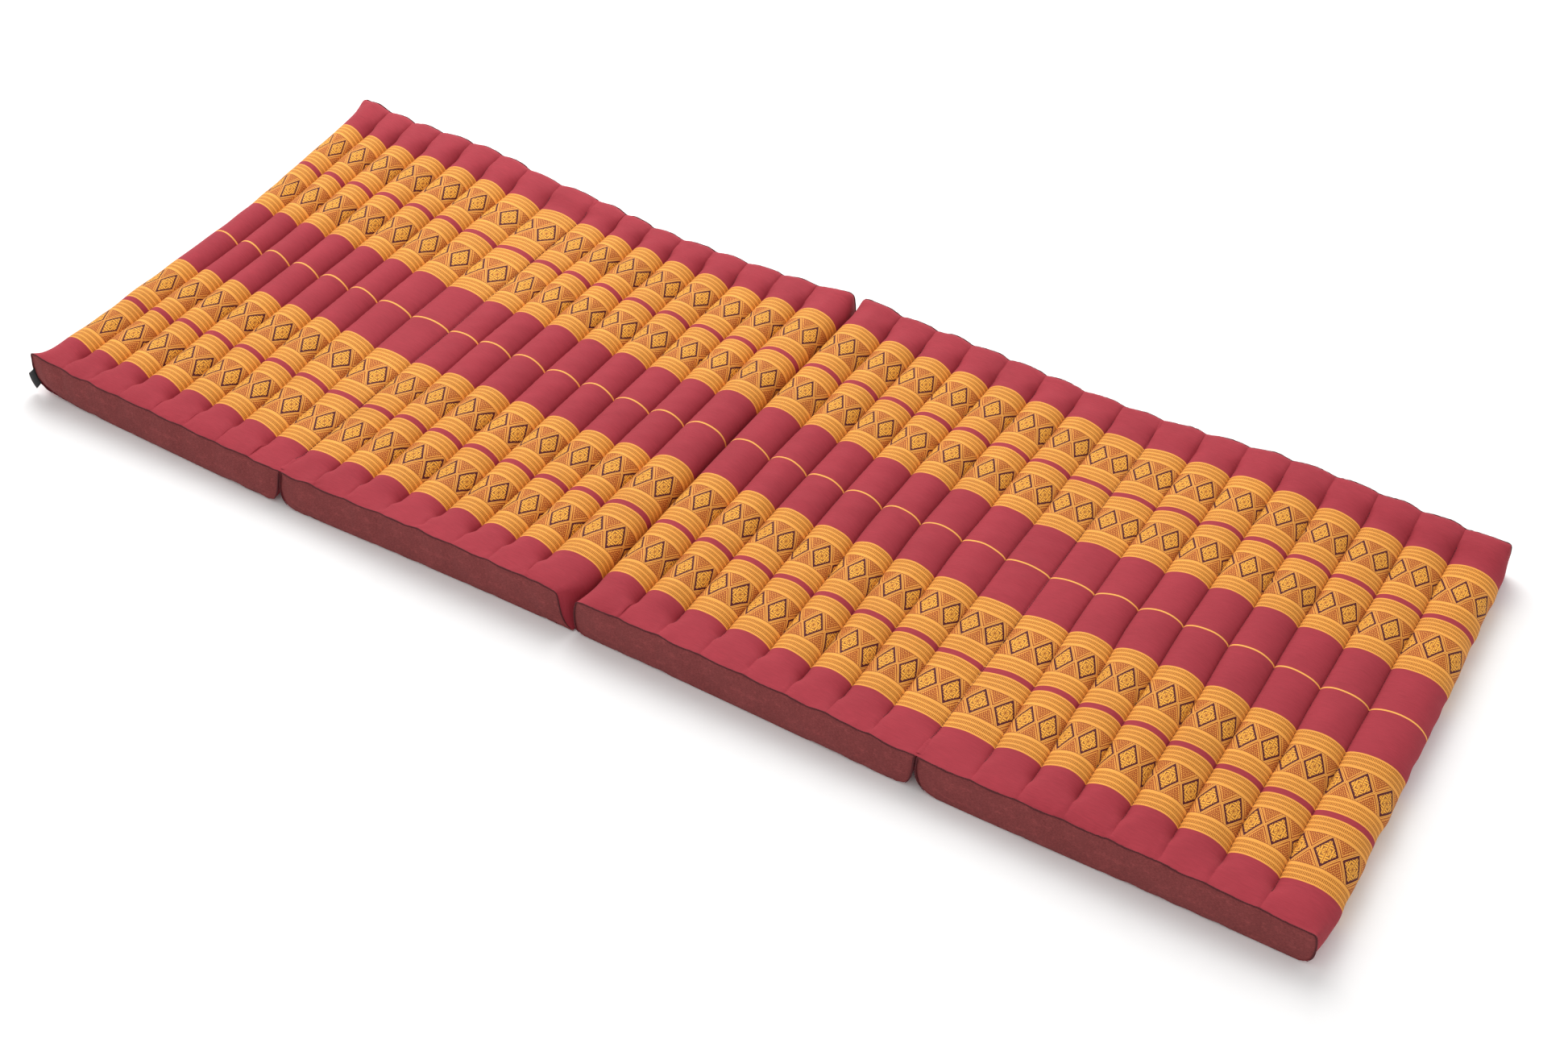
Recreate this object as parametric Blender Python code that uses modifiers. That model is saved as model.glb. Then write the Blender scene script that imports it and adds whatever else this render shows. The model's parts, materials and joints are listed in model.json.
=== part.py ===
"""Fold-out floor mattress: four kapok-filled quilted panels in a row.

The panels fold like a screen. Panels 1|2 and 3|4 are joined along the top cloth and fold
top to top; panels 2|3 are joined along the base cloth and fold base to base. Each panel is
a top cover, a base cover that carries the channel walls, eight stuffed rolls, two boxing
strips along the long sides and a welt round each boxing strip.

X runs along the mattress, Y across it and Z is up. The origin is on the floor under the
middle of everything, the tag included.
"""
import math

import bmesh
import bpy

# Driving dimensions, in metres.
WIDTH = 0.800                                   # boxing to boxing
PANEL_LENGTHS = (0.472, 0.489, 0.513, 0.526)    # hand-stuffed, so no two are quite alike
ROLLS = 8                                       # stuffed channels in each panel
END_ROLL = 0.074                                # a roll that rounds off a panel's end is wider
CREST = 0.0680                                  # height of a roll's crest, mid width
VALLEY = 0.0510                                 # height of a stitched valley, mid width
EDGE = 0.0610                                   # height of the top edge, along the boxing
PLUMP = 0.0640                                  # height of the plain margin at its fullest
MARGIN = 0.068                                  # the valleys fade out this far from the edge
PLUMP_INSET = 0.024                             # and the margin is fullest this far from it
CLOTH = 0.0012                                  # cover cloth
WALL = 0.0010                                   # cloth wall between two channels
CLEAR = 0.0006                                  # clearance of the filling inside its cloth
GAP = 0.0004                                    # half the gap between two panels
WELT_RADIUS = 0.0017                            # folded welt
SEAM_RADIUS = 0.0012                            # rolled seam at a fold
TAG = (0.018, 0.027, 0.0008)                    # blank woven tag: width, drop, thickness
TAG_REACH = 0.015                               # how much of it stands out past the open end
SEGMENTS = 6                                    # facets over one roll
BULGE_ANGLE = math.radians(62)                  # half the arc that a roll bulges through

TOP_FOLD, BASE_FOLD, OPEN = "top fold", "base fold", "open"
PANEL_ENDS = ((OPEN, TOP_FOLD), (TOP_FOLD, BASE_FOLD), (BASE_FOLD, TOP_FOLD), (TOP_FOLD, OPEN))

# How a panel's end falls to the base, from its roll's crest or from a top fold, as
# (distance in from the end, height): mid width, and squarer at the long edge.
END_PROFILES = {
    OPEN: (((0.0260, 0.0663), (0.0260, 0.0612)), ((0.0140, 0.0612), (0.0130, 0.0612)),
           ((0.0050, 0.0520), (0.0020, 0.0606)), ((0.0000, 0.0390), (0.0002, 0.0450)),
           ((0.0024, 0.0240), (0.0030, 0.0270)), ((0.0095, 0.0105), (0.0110, 0.0110)),
           ((0.0210, 0.0019), (0.0250, 0.0019))),
    BASE_FOLD: (((0.0260, 0.0663), (0.0260, 0.0612)), ((0.0140, 0.0618), (0.0130, 0.0612)),
                ((0.0060, 0.0535), (0.0030, 0.0600)), ((0.0022, 0.0400), (0.0014, 0.0450)),
                ((0.0008, 0.0220), (0.0008, 0.0220)), ((0.0008, 0.0080), (0.0008, 0.0080)),
                ((0.0034, 0.0019), (0.0034, 0.0019))),
    TOP_FOLD: (((0.0012, 0.0400), (0.0012, 0.0440)), ((0.0034, 0.0220), (0.0034, 0.0240)),
               ((0.0078, 0.0080), (0.0090, 0.0100)), ((0.0124, 0.0019), (0.0180, 0.0019))),
}

LEFT_END = (TAG_REACH - sum(PANEL_LENGTHS)) / 2 # the tag reaches past this end


def clear_scene():
    for obj in list(bpy.data.objects):
        bpy.data.objects.remove(obj, do_unlink=True)


def make_material(name, color, roughness, sheen):
    mat = bpy.data.materials.new(name)
    mat.use_nodes = True
    bsdf = mat.node_tree.nodes["Principled BSDF"]
    bsdf.inputs["Base Color"].default_value = (*color, 1.0)
    bsdf.inputs["Roughness"].default_value = roughness
    bsdf.inputs["Metallic"].default_value = 0.0
    bsdf.inputs["Sheen Weight"].default_value = sheen
    return mat


def finish(obj, material, collection, parent):
    """Give an object its material, collection and parent, keeping it where it is."""
    obj.data.materials.append(material)
    collection.objects.link(obj)
    bpy.context.view_layer.update()
    if parent:
        obj.parent = parent
        obj.matrix_parent_inverse = parent.matrix_world.inverted()
    return obj


def mesh_object(name, bm, angle=50):
    mesh = bpy.data.meshes.new(name)
    bm.to_mesh(mesh)
    bm.free()
    mesh.shade_smooth()
    mesh.set_sharp_from_angle(angle=math.radians(angle))
    return bpy.data.objects.new(name, mesh)


# --- the shape of a panel ----------------------------------------------------------------------

def bulge(t):
    """Rise of a roll at t from 0 to 1 across it: a circular arc."""
    sine = (2 * t - 1) * math.sin(BULGE_ANGLE)
    return (math.sqrt(1 - sine ** 2) - math.cos(BULGE_ANGLE)) / (1 - math.cos(BULGE_ANGLE))


def across(inset, edge, plump, inner):
    """A value at some inset from the long edge: at the edge, in the plain margin, further in."""
    if inset >= MARGIN:
        return inner
    if inset >= PLUMP_INSET:
        return inner + (plump - inner) * (MARGIN - inset) / (MARGIN - PLUMP_INSET)
    return edge + (plump - edge) * inset / PLUMP_INSET


def valley_height(inset):
    return across(inset, EDGE, PLUMP, VALLEY)


def crest_height(inset):
    return across(inset, EDGE, CREST - 0.0015, CREST)


class Panel:
    """One panel's place in the row, with the X of every line between its rolls."""

    def __init__(self, number, start, length, ends):
        self.number, self.start, self.end, self.ends = number, start, start + length, ends
        self.rounded = [kind != TOP_FOLD for kind in ends]
        pitch = (length - END_ROLL * sum(self.rounded)) / (ROLLS - sum(self.rounded))
        self.lines = [start]
        for k in range(ROLLS):
            wide = (k == 0 and self.rounded[0]) or (k == ROLLS - 1 and self.rounded[1])
            self.lines.append(self.lines[-1] + (END_ROLL if wide else pitch))

    def end_points(self, side, inset):
        """The end's profile at some inset from the long edge, top down, as (x, z)."""
        sign, origin = (1, self.start) if side == 0 else (-1, self.end)
        share = across(inset, 1.0, 0.2, 0.0)
        points = []
        for (depth, height), (edge_depth, edge_height) in END_PROFILES[self.ends[side]]:
            points.append((origin + sign * (depth + (edge_depth - depth) * share),
                           height + (edge_height - height) * share))
        return points

    def surface(self, inset, first=0, last=ROLLS - 1):
        """The cover's outline over some of the rolls, left to right, as (x, z).

        The first and the last roll take in the panel's ends, down to the base.
        """
        valley, crest = valley_height(inset), crest_height(inset)
        points = self.end_points(0, inset)[::-1] if first == 0 else []
        for k in range(first, last + 1):
            a, b = self.lines[k], self.lines[k + 1]
            low = SEGMENTS // 2 if k == 0 and self.rounded[0] else 0
            high = SEGMENTS // 2 if k == ROLLS - 1 and self.rounded[1] else SEGMENTS
            for n in range(low if k == first else max(low, 1), high + 1):
                x = min(max(a + (b - a) * n / SEGMENTS, self.start + GAP), self.end - GAP)
                points.append((x, valley + (crest - valley) * bulge(n / SEGMENTS)))
        return points + (self.end_points(1, inset) if last == ROLLS - 1 else [])

    def side_outline(self, depth):
        """The boxing's outline, moved in by some depth: a level top between the two ends."""
        left, right = self.end_points(0, 0.0)[::-1], self.end_points(1, 0.0)
        if not self.rounded[0]:
            left.append((self.start + GAP, EDGE))
        if not self.rounded[1]:
            right.insert(0, (self.end - GAP, EDGE))
        return inward_offset(left + right, depth)


def inward_offset(points, distance):
    """A left-to-right outline moved inwards, each facet staying parallel to itself."""
    normals = []
    for (x0, z0), (x1, z1) in zip(points, points[1:]):
        size = math.hypot(x1 - x0, z1 - z0)
        normals.append(((z1 - z0) / size, -(x1 - x0) / size))
    moved = []
    for n, (x, z) in enumerate(points):
        a, b = normals[max(n - 1, 0)], normals[min(n, len(normals) - 1)]
        scale = distance / (1 + a[0] * b[0] + a[1] * b[1])
        moved.append((x + (a[0] + b[0]) * scale, z + (a[1] + b[1]) * scale))
    return moved


def cut_at(a, b, axis, value):
    """The point of the line through a and b whose coordinate on one axis has a value."""
    t = (value - a[axis]) / (b[axis] - a[axis])
    return tuple(a[i] + (b[i] - a[i]) * t for i in (0, 1))


# --- the pieces of a panel ---------------------------------------------------------------------

def insets_across(first):
    """Insets of the lofted pieces' sections, each with its Y, from the near edge to the far one."""
    insets = (first, PLUMP_INSET, MARGIN)
    return [(i, i - WIDTH / 2) for i in insets] + [(i, WIDTH / 2 - i) for i in reversed(insets)]


def build_top_cover(panel, material, collection, parent):
    """The top cloth, over the rolls and down both ends: a shaped grid with thickness."""
    stations = insets_across(0.0025)
    rows = [panel.surface(inset) for inset, _ in stations]
    columns = len(rows[0])
    bm = bmesh.new()
    bmesh.ops.create_grid(bm, x_segments=columns - 1, y_segments=len(rows) - 1, size=1.0)
    for vert in bm.verts:
        row = round((vert.co.y + 1) / 2 * (len(rows) - 1))
        x, z = rows[row][round((vert.co.x + 1) / 2 * (columns - 1))]
        vert.co = (x, stations[row][1], z)
    obj = mesh_object(f"panel_{panel.number}_top_cover", bm)
    shell = obj.modifiers.new("Cloth thickness", 'SOLIDIFY')
    shell.thickness = CLOTH
    shell.offset = -1.0
    shell.use_even_offset = True
    return finish(obj, material, collection, parent)


def flat_piece(name, outline, y, thickness, material, collection, parent):
    """A filled outline in the XZ plane, given thickness along Y."""
    curve = bpy.data.curves.new(name, 'CURVE')
    curve.dimensions = '2D'
    curve.fill_mode = 'BOTH'
    curve.extrude = thickness / 2
    spline = curve.splines.new('POLY')
    spline.points.add(len(outline) - 1)
    for point, (x, z) in zip(spline.points, outline):
        point.co = (x, z, 0.0, 1.0)
    spline.use_cyclic_u = True
    obj = bpy.data.objects.new(name, curve)
    obj.rotation_euler = (math.radians(90), 0.0, 0.0)
    obj.location = (0.0, y, 0.0)
    weld = obj.modifiers.new("Weld rims", 'WELD')
    weld.merge_threshold = 0.00005
    return finish(obj, material, collection, parent)


def tube(name, path, radius, material, collection, parent):
    """A round cord along a path, with filled ends."""
    curve = bpy.data.curves.new(name, 'CURVE')
    curve.dimensions = '3D'
    curve.bevel_depth = radius
    curve.bevel_resolution = 2
    curve.use_fill_caps = True
    spline = curve.splines.new('POLY')
    spline.points.add(len(path) - 1)
    spline.use_smooth = True
    for point, co in zip(spline.points, path):
        point.co = (*co, 1.0)
    return finish(bpy.data.objects.new(name, curve), material, collection, parent)


def build_base_cover(panel, material, collection, parent):
    """The base cloth and the channel walls sewn to it, as one comb across the panel."""
    left = panel.end_points(0, MARGIN)[-1][0] - 0.001
    right = panel.end_points(1, MARGIN)[-1][0] + 0.001
    top = VALLEY - 2.4 * CLOTH
    outline = [(left, 0.0), (right, 0.0), (right, CLOTH)]
    for x in reversed(panel.lines[1:-1]):
        near, far = x + WALL / 2, x - WALL / 2
        outline += [(near, CLOTH), (near, top), (far, top), (far, CLOTH)]
    outline.append((left, CLOTH))
    name = f"panel_{panel.number}_base_cover"
    return flat_piece(name, outline, 0.0, WIDTH - 0.006, material, collection, parent)


def roll_section(panel, k, inset):
    """A roll's cross-section: its channel's outline, cleared of the cloth all round."""
    section = inward_offset(panel.surface(inset, k, k), CLOTH + CLEAR)
    floor = CLOTH + CLEAR
    left = panel.lines[k] + WALL / 2 + CLEAR
    right = panel.lines[k + 1] - WALL / 2 - CLEAR
    if k == 0:
        section[0] = cut_at(section[0], section[1], 1, floor)
    else:
        section[0] = cut_at(section[0], section[1], 0, left)
        section.insert(0, (left, floor))
    if k == ROLLS - 1:
        section[-1] = cut_at(section[-1], section[-2], 1, floor)
    else:
        section[-1] = cut_at(section[-1], section[-2], 0, right)
        section.append((right, floor))
    return section


def build_roll(panel, k, material, collection, parent):
    """One channel's kapok: a loft through its sections across the panel."""
    bm = bmesh.new()
    rings = []
    for inset, y in insets_across(0.0030):
        rings.append([bm.verts.new((x, y, z)) for x, z in roll_section(panel, k, inset)])
    for ring, after in zip(rings, rings[1:]):
        for n in range(len(ring)):
            m = (n + 1) % len(ring)
            bm.faces.new((ring[n], ring[m], after[m], after[n]))
    for ring in (rings[0], rings[-1]):
        bm.faces.new(ring)
    bmesh.ops.recalc_face_normals(bm, faces=bm.faces)
    obj = mesh_object(f"panel_{panel.number}_kapok_roll_{k + 1}", bm)
    return finish(obj, material, collection, parent)


def build_sides(panel, side, side_name, cloths, collection, parent):
    """The boxing strip that closes one side, and the welt round its top and ends."""
    boxing = panel.side_outline(0.0044)
    boxing = [(boxing[0][0] + 0.006, 0.0)] + boxing + [(boxing[-1][0] - 0.006, 0.0)]
    flat_piece(f"panel_{panel.number}_boxing_{side_name}", boxing, side * (WIDTH - CLOTH) / 2, CLOTH,
               cloths["boxing"], collection, parent)
    path = [(x, side * WIDTH / 2, z) for x, z in panel.side_outline(0.0021)]
    tube(f"panel_{panel.number}_welt_{side_name}", path, WELT_RADIUS, cloths["welt"], collection, parent)


def build_top_fold_seam(number, x, material, collection, parent):
    """The stitched seam of a top fold, lying in the valley between two panels."""
    path = []
    for inset, y in insets_across(0.004):
        depth = (crest_height(inset) - valley_height(inset)) / (CREST - VALLEY)
        path.append((x, y, valley_height(inset) + SEAM_RADIUS + 0.0006 + 0.0012 * depth))
    tube(f"fold_seam_{number}", path, SEAM_RADIUS, material, collection, parent)


def build_base_fold_seam(number, x, material, collection, parent):
    """The stitched seam of a base fold, level with the base cloth."""
    half = WIDTH / 2 - 0.004
    path = [(x, -half, SEAM_RADIUS), (x, half, SEAM_RADIUS)]
    tube(f"fold_seam_{number}", path, SEAM_RADIUS, material, collection, parent)


def build_tag(panel, material, collection, parent):
    """The blank woven tag, sewn outside the open end's corner seam and standing out past it."""
    width, drop, thickness = TAG
    bpy.ops.mesh.primitive_cube_add(size=1.0)
    obj = bpy.context.active_object
    obj.name = obj.data.name = "side_tag"
    for other in list(obj.users_collection):
        other.objects.unlink(obj)
    obj.scale = (width, thickness, drop)
    bpy.ops.object.transform_apply(location=False, rotation=False, scale=True)
    outside = WIDTH / 2 + WELT_RADIUS + 0.0003 + thickness / 2
    obj.location = (panel.start - TAG_REACH + width / 2, -outside, 0.036)
    return finish(obj, material, collection, parent)


# --- assembly ----------------------------------------------------------------------------------

def joint_empty(name, location, collection, parent):
    """An empty on a fold's axis, which carries the panels that turn about it."""
    empty = bpy.data.objects.new(name, None)
    empty.empty_display_size = 0.05
    empty.location = location
    return finish_empty(empty, collection, parent)


def finish_empty(empty, collection, parent):
    collection.objects.link(empty)
    bpy.context.view_layer.update()
    if parent:
        empty.parent = parent
        empty.matrix_parent_inverse = parent.matrix_world.inverted()
        bpy.context.view_layer.update()
    return empty


def main():
    clear_scene()
    collection = bpy.data.collections.new("futon_mattress")
    bpy.context.scene.collection.children.link(collection)
    cloths = {
        "cover": make_material("patterned_cotton", (0.44, 0.045, 0.062), 0.85, 0.3),
        "base": make_material("base_cotton", (0.33, 0.030, 0.040), 0.88, 0.2),
        "boxing": make_material("boxing_cotton", (0.17, 0.036, 0.042), 0.88, 0.2),
        "welt": make_material("welt_cotton", (0.055, 0.012, 0.016), 0.85, 0.2),
        "kapok": make_material("kapok", (0.78, 0.72, 0.58), 0.95, 0.1),
        "tag": make_material("woven_tag", (0.012, 0.012, 0.013), 0.70, 0.1),
    }

    panels = []
    start = LEFT_END
    for number, (length, ends) in enumerate(zip(PANEL_LENGTHS, PANEL_ENDS), start=1):
        panels.append(Panel(number, start, length, ends))
        start += length

    axis_top = CREST + 0.0015           # top to top, the rolls just touch
    axis_base = -0.0006                 # base to base
    joint_1 = joint_empty("fold_1", (panels[0].end, 0.0, axis_top), collection, None)
    joint_2 = joint_empty("fold_2", (panels[1].end, 0.0, axis_base), collection, None)
    joint_3 = joint_empty("fold_3", (panels[2].end, 0.0, axis_top), collection, joint_2)
    parents = (joint_1, None, joint_2, joint_3)

    for panel, parent in zip(panels, parents):
        build_top_cover(panel, cloths["cover"], collection, parent)
        build_base_cover(panel, cloths["base"], collection, parent)
        for k in range(ROLLS):
            build_roll(panel, k, cloths["kapok"], collection, parent)
        for side, side_name in ((-1, "near"), (1, "far")):
            build_sides(panel, side, side_name, cloths, collection, parent)

    build_top_fold_seam(1, panels[0].end, cloths["cover"], collection, None)
    build_base_fold_seam(2, panels[1].end, cloths["base"], collection, None)
    build_top_fold_seam(3, panels[2].end, cloths["cover"], collection, joint_2)
    build_tag(panels[0], cloths["tag"], collection, joint_1)


main()
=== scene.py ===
"""Fold-out floor mattress: quilted panels of kapok rolls under a woven, banded cotton cover.

Lengths are in metres and sit in the CAD frame: X along the row of panels, Y across it, Z up.
"""
import json
import math

import bmesh
import bpy
import numpy as np
from mathutils import Matrix, Vector


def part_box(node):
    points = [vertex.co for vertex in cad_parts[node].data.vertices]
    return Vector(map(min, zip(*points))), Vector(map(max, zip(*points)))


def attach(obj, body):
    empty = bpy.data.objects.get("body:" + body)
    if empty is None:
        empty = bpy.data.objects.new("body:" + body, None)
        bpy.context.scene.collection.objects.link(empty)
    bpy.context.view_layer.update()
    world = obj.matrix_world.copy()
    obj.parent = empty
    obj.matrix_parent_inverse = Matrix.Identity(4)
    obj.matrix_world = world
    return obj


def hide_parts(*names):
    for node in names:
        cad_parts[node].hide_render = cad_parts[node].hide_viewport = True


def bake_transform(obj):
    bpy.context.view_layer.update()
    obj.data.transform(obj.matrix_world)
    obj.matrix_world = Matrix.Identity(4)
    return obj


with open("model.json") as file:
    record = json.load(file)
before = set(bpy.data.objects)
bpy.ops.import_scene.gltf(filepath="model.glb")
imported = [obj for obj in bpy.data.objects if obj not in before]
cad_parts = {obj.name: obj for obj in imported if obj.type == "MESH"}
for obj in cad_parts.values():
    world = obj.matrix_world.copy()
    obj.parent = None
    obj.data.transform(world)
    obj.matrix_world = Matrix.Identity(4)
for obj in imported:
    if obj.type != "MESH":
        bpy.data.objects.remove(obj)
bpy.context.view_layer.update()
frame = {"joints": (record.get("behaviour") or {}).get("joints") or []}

# --- what the frame says -----------------------------------------------------------------------

PANELS, ROLLS = (1, 2, 3, 4), 8
JOINT_X = [next(j for j in frame["joints"] if j["name"] == f"fold_{n}")["pos_m"][0] for n in (1, 2, 3)]
ENDS = [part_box("panel_1_top_cover")[0][0], *JOINT_X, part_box("panel_4_top_cover")[1][0]]
HALF = -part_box("panel_1_boxing_near")[0][1]             # half the mattress's width
AXIS_TOP = next(j for j in frame["joints"] if j["name"] == "fold_1")["pos_m"][2]
OPEN, TOP_FOLD, BASE_FOLD = "open", "top fold", "base fold"
PANEL_ENDS = {1: (OPEN, TOP_FOLD), 2: (TOP_FOLD, BASE_FOLD), 3: (BASE_FOLD, TOP_FOLD),
              4: (TOP_FOLD, OPEN)}

# --- driving shapes ----------------------------------------------------------------------------

ROLL_ANGLE = math.radians(60)       # half the arc a roll bulges through
CREST_LIMIT = AXIS_TOP - 0.0004     # crests stop here, before the far side's raise and the curls
FOLD_REACH = 0.0055                 # reach either side of a top fold; the top cloth is not bent within it
TUCK = 0.0036                       # cloth taken up by each stitched channel line
STITCH_END = (0.046, 0.064)         # the channel lines stop this far from the long edges
BOXING_HEIGHT = 0.060               # of the flat strip, seam to seam
WELT_PITCH, WELT_RADII = 0.0036, (0.0010, 0.0011)
# Stitches: from one to the next, length and thickness from the middle.
CHANNEL_STITCH, BASE_STITCH = (0.0042, 0.0030, 0.0004), (0.0060, 0.0040, 0.00035)
MID = [(a + b) / 2 for a, b in zip(ENDS, ENDS[1:])]
L, H1, H2, H3, R = ENDS

# Height of the rolls' crests, relief down to the stitched valleys, and height of the two edge
# seams, all along X. The rolls beside a top fold are the flattest.
CREST = ((L, 0.0630), (MID[0] - 0.05, 0.0640), (H1 - 0.15, 0.0615), (H1, 0.0550), (H1 + 0.10, 0.0590),
         (MID[1], 0.0590), (H2 - 0.12, 0.0605), (H2 - 0.04, 0.0685), (H2 + 0.04, 0.0690),
         (H2 + 0.15, 0.0620), (MID[2], 0.0592), (H3 - 0.10, 0.0565), (H3, 0.0500),
         (H3 + 0.10, 0.0595), (H3 + 0.20, 0.0660), (MID[3] + 0.03, 0.0625), (R - 0.12, 0.0545),
         (R, 0.0525))
RELIEF = ((L, 0.0165), (MID[0], 0.0172), (H1 - 0.10, 0.0135), (H1, 0.0085), (H1 + 0.10, 0.0145),
          (MID[1], 0.0165), (H2 - 0.10, 0.0160), (H2 - 0.04, 0.0205), (H2 + 0.04, 0.0195),
          (H2 + 0.12, 0.0155), (MID[2], 0.0150), (H3 - 0.10, 0.0125), (H3, 0.0075),
          (H3 + 0.10, 0.0120), (MID[3], 0.0130), (R, 0.0120))
SEAM = {-1: ((L, 0.0600), (MID[0], 0.0570), (H1, 0.0515), (MID[1], 0.0600), (H2, 0.0610),
             (MID[2], 0.0605), (H3, 0.0530), (MID[3], 0.0580), (R, 0.0550)),
        1: ((L, 0.0580), (MID[0], 0.0555), (H1, 0.0530), (MID[1], 0.0530), (H2 - 0.05, 0.0570),
            (H2, 0.0600), (H2 + 0.08, 0.0550), (MID[2], 0.0510), (H3, 0.0450), (H3 + 0.1, 0.0530),
            (H3 + 0.2, 0.0600), (MID[3] + 0.1, 0.0560), (R, 0.0510))}
FAR_DROP = 0.0085                   # how far the far seam lies below its margin
SHOULDER = {-1: (0.034, 2.0), 1: (0.018, 3.0)}      # width and roundness of the two plain margins
FAR_RAISE = 0.0090                  # the far side stands taller at the open left end
# The corners of the open ends curl up off the floor: (x, side, rise, reach).
CURLS = ((L, 1, 0.0050, 0.080), (L, -1, 0.0070, 0.070), (R, 1, 0.0015, 0.060))
HEM = 0.0022                        # the base's edges wander up off the floor by this much

# The mattress lies out of true, panel 1 the most. SHIFT is how far along X its cloth has moved
# at the far side, in the middle and at the near side; SPREAD is how far it has moved outwards
# along Y, and FLARE how much further its far margin has.
SHIFT = {1: ((L, -0.012), (L + 0.08, -0.030), (H1 - 0.17, -0.031), (H1 - 0.11, -0.029),
             (H1 - 0.06, -0.019), (H1, 0.0), (H1 + 0.10, -0.005), (H2, 0.0), (MID[2], -0.003),
             (H3, 0.0), (MID[3], 0.006), (R, 0.005)),
         0: ((L, 0.009), (L + 0.08, -0.011), (H1 - 0.17, -0.021), (H1 - 0.11, -0.022),
             (H1 - 0.06, -0.014), (H1, 0.0), (H1 + 0.06, -0.006), (MID[1], -0.001), (H2, 0.0),
             (H2 + 0.13, -0.005), (H3 - 0.12, -0.008), (H3, 0.0), (MID[3], 0.001),
             (R - 0.09, 0.003), (R, 0.010)),
         -1: ((L, 0.014), (L + 0.08, -0.005), (H1 - 0.17, -0.006), (H1, 0.0), (H1 + 0.12, -0.007),
              (MID[1], -0.001), (H2 - 0.07, -0.004), (H2, 0.004), (H2 + 0.10, -0.005),
              (MID[2], -0.001), (H3, 0.0), (H3 + 0.06, 0.010), (H3 + 0.12, 0.009), (MID[3], 0.002),
              (R - 0.08, 0.002), (R, 0.011))}
SPREAD = {1: ((L, 0.017), (L + 0.14, 0.010), (H1 - 0.15, 0.021), (H1 - 0.08, 0.018), (H1, 0.015),
              (H1 + 0.08, 0.008), (H2, 0.001), (R, 0.0)),
          -1: ((L, 0.008), (MID[0], 0.005), (H1 - 0.14, 0.004), (H1, 0.009), (H1 + 0.07, 0.005),
               (MID[1], 0.003), (H2, 0.0), (R, 0.0))}
FLARE = ((L, 0.006), (L + 0.08, 0.010), (MID[0], 0.010), (H1 - 0.14, 0.006), (H1 - 0.06, 0.0),
         (H2 - 0.1, 0.0), (H2, 0.006), (H2 + 0.12, 0.005), (H3, 0.004), (R, 0.003))

# An end's fall from its roll's crest to the base, as (depth in from the end, height): at mid
# width, then along the boxing. Heights are for a crest at 0.068 and a seam at 0.061.
OPEN_MIDDLE = ((.037, .0680), (.026, .0663), (.014, .0612), (.0050, .0520), (.0, .0390),
               (.0024, .0240), (.0095, .0105), (.0210, .0019))
CLEFT_MIDDLE = ((.037, .0680), (.026, .0663), (.014, .0612), (.0055, .0520), (.0018, .0400),
                (.0008, .0220), (.0008, .0080), (.0034, .0019))
FALLS = {
    (1, 0): (OPEN_MIDDLE,
             ((.037, .0610), (.026, .0610), (.013, .0610), (.0006, .0607), (.0002, .0450),
              (.0014, .0290), (.0085, .0135), (.0220, .0055), (.0400, .0024))),
    (4, 1): (OPEN_MIDDLE,
             ((.037, .0610), (.026, .0610), (.017, .0610), (.0100, .0606), (.0076, .0450),
              (.0070, .0290), (.0084, .0140), (.0130, .0060), (.0200, .0024))),
    (2, 1): (CLEFT_MIDDLE,
             ((.037, .0610), (.0325, .0611), (.0285, .0609), (.0252, .0590), (.0228, .0450),
              (.0198, .0270), (.0150, .0135), (.0090, .0060), (.0025, .0024))),
    (3, 0): (CLEFT_MIDDLE,
             ((.037, .0610), (.024, .0611), (.0105, .0609), (.0048, .0592), (.0016, .0450),
              (.0010, .0270), (.0032, .0120), (.0085, .0052), (.0170, .0024))),
}
CORNER = 3                          # the point of a fall where the top seam turns down the end
# Below a top fold the two end cloths part in a narrow V, as (depth in, share of the height):
# at mid width, then along the boxing, for a panel's left end and for its right end.
V_MIDDLE = ((.0006, .0), (.0014, .24), (.0034, .58), (.0078, .86), (.0124, 1.0))
V_FALL = {0: (V_MIDDLE, ((.0008, .0), (.0016, .25), (.0040, .52), (.0100, .77), (.0190, .93),
                         (.0300, 1.0))),
          1: (V_MIDDLE, ((.0008, .0), (.0012, .32), (.0022, .62), (.0050, .84), (.0100, .95),
                         (.0180, 1.0)))}
# The near boxing leans out at its foot by this much.
FOOT = ((L, 0.0), (L + 0.05, 0.001), (MID[0], 0.005), (H1 - 0.05, 0.009), (H1, 0.010),
        (H1 + 0.08, 0.008), (MID[1], 0.003), (H2 - 0.05, 0.0), (H2 + 0.05, 0.0), (MID[2], 0.002),
        (H3 - 0.05, 0.005), (H3 + 0.05, 0.005), (MID[3], 0.002), (R - 0.05, 0.0), (R, 0.0))
FAR_CORNER = 0.5                    # the far corners at the middle cleft are squarer than the near
CORNER_REACH = 0.052                # an end's profile changes within this of a long edge
UNDERLAP = 5                        # columns of an end cloth that lie under the top cloth
V_END = 0.0019                      # height of the end cloths' lower edges
BASE_REST = 0.0006                  # height of the base cloth on the floor
GROOVE = 0.0034                     # its rise at the channel lines
WELT_FOOT = 0.0060                  # height above the floor at which the welt ends


def smooth(t):
    t = np.clip(t, 0.0, 1.0)
    return t * t * (3 - 2 * t)


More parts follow.
